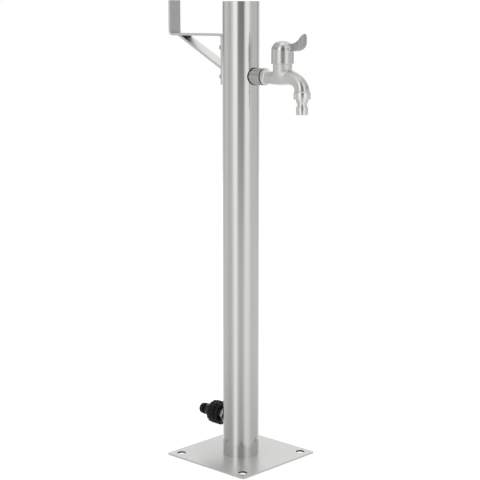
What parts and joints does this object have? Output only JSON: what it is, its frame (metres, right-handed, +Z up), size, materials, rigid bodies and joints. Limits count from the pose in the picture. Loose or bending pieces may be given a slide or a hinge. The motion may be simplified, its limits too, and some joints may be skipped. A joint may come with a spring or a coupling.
{
  "type": "garden standpipe",
  "caption": "Round brushed-steel garden standpipe on a square bolt-down plate, with a lever bib tap in front, a braced hose hook behind and a ribbed hose inlet near the foot.",
  "frame": {"origin": "centre of the base plate's underside", "axes": "+Z up along the column, +X the way the tap points, the hose hook and the inlet point along -X"},
  "size_m": [0.2979, 0.175, 0.753],
  "materials": {
    "column_steel": "brushed",
    "bright_steel": "polished",
    "tap_steel": "satin",
    "brass": "machined",
    "rubber": "matte",
    "black_plastic": "satin",
    "ceramic": "polished"
  },
  "bodies": {
    "column": {"base_plate": "column_steel", "foot_weld_bead": "column_steel", "column_tube": "column_steel", "top_cap": "column_steel", "hook_strap": "column_steel", "hook_brace": "column_steel", "hook_bolts": "bright_steel", "hook_washers": "bright_steel", "hook_cap_nuts": "bright_steel", "tap_saddle_seal": "rubber", "tap_socket": "tap_steel", "tap_inner_seal": "rubber", "tap_backnut": "brass", "tap_flange_gasket": "rubber", "tap_body": "tap_steel", "cartridge_body": "brass", "cartridge_seat_seal": "rubber", "fixed_disc": "ceramic", "stem_o_ring": "rubber", "upper_elbow": "brass", "riser_pipe": "brass", "lower_elbow": "brass", "inlet_stub": "brass", "inlet_inner_seal": "rubber", "inlet_backnut": "brass", "inlet_outer_seal": "rubber", "inlet_locknut": "bright_steel"},
    "handle": {"lever_handle": "tap_steel", "handle_grub_screw": "bright_steel", "valve_stem": "brass", "moving_disc": "ceramic"},
    "outlet_seal": {"outlet_washer": "rubber"},
    "outlet": {"outlet_nozzle": "tap_steel"},
    "inlet_seal": {"stub_washer": "rubber"},
    "connector": {"connector_nut": "black_plastic", "hose_end": "black_plastic", "connector_washer": "rubber", "nipple_o_ring": "rubber"}
  },
  "joints": [
    {"name": "lever_turn", "type": "hinge", "parent": "column", "child": "handle", "pos_m": [0.089, 0, 0.66], "axis": [0, 0, 1], "range_deg": [0, 90]},
    {"name": "nozzle_drop", "type": "slide", "parent": "column", "child": "outlet_seal", "axis": [0, 0, -1], "range_m": [0, 0.009]},
    {"name": "nozzle_turn", "type": "hinge", "parent": "outlet_seal", "child": "outlet", "pos_m": [0.1295, 0, 0.6], "axis": [0, 0, -1], "range_deg": [0, 1800]},
    {"name": "connector_draw", "type": "slide", "parent": "column", "child": "inlet_seal", "axis": [-1, 0, 0], "range_m": [0, 0.009]},
    {"name": "connector_turn", "type": "hinge", "parent": "inlet_seal", "child": "connector", "pos_m": [-0.05, 0, 0.061], "axis": [-1, 0, 0], "range_deg": [0, 1800]}
  ],
  "couplings": [
    {"joint": "nozzle_drop", "follows": "nozzle_turn", "m_per_rad": 0.00028648},
    {"joint": "connector_draw", "follows": "connector_turn", "m_per_rad": 0.00028648}
  ]
}
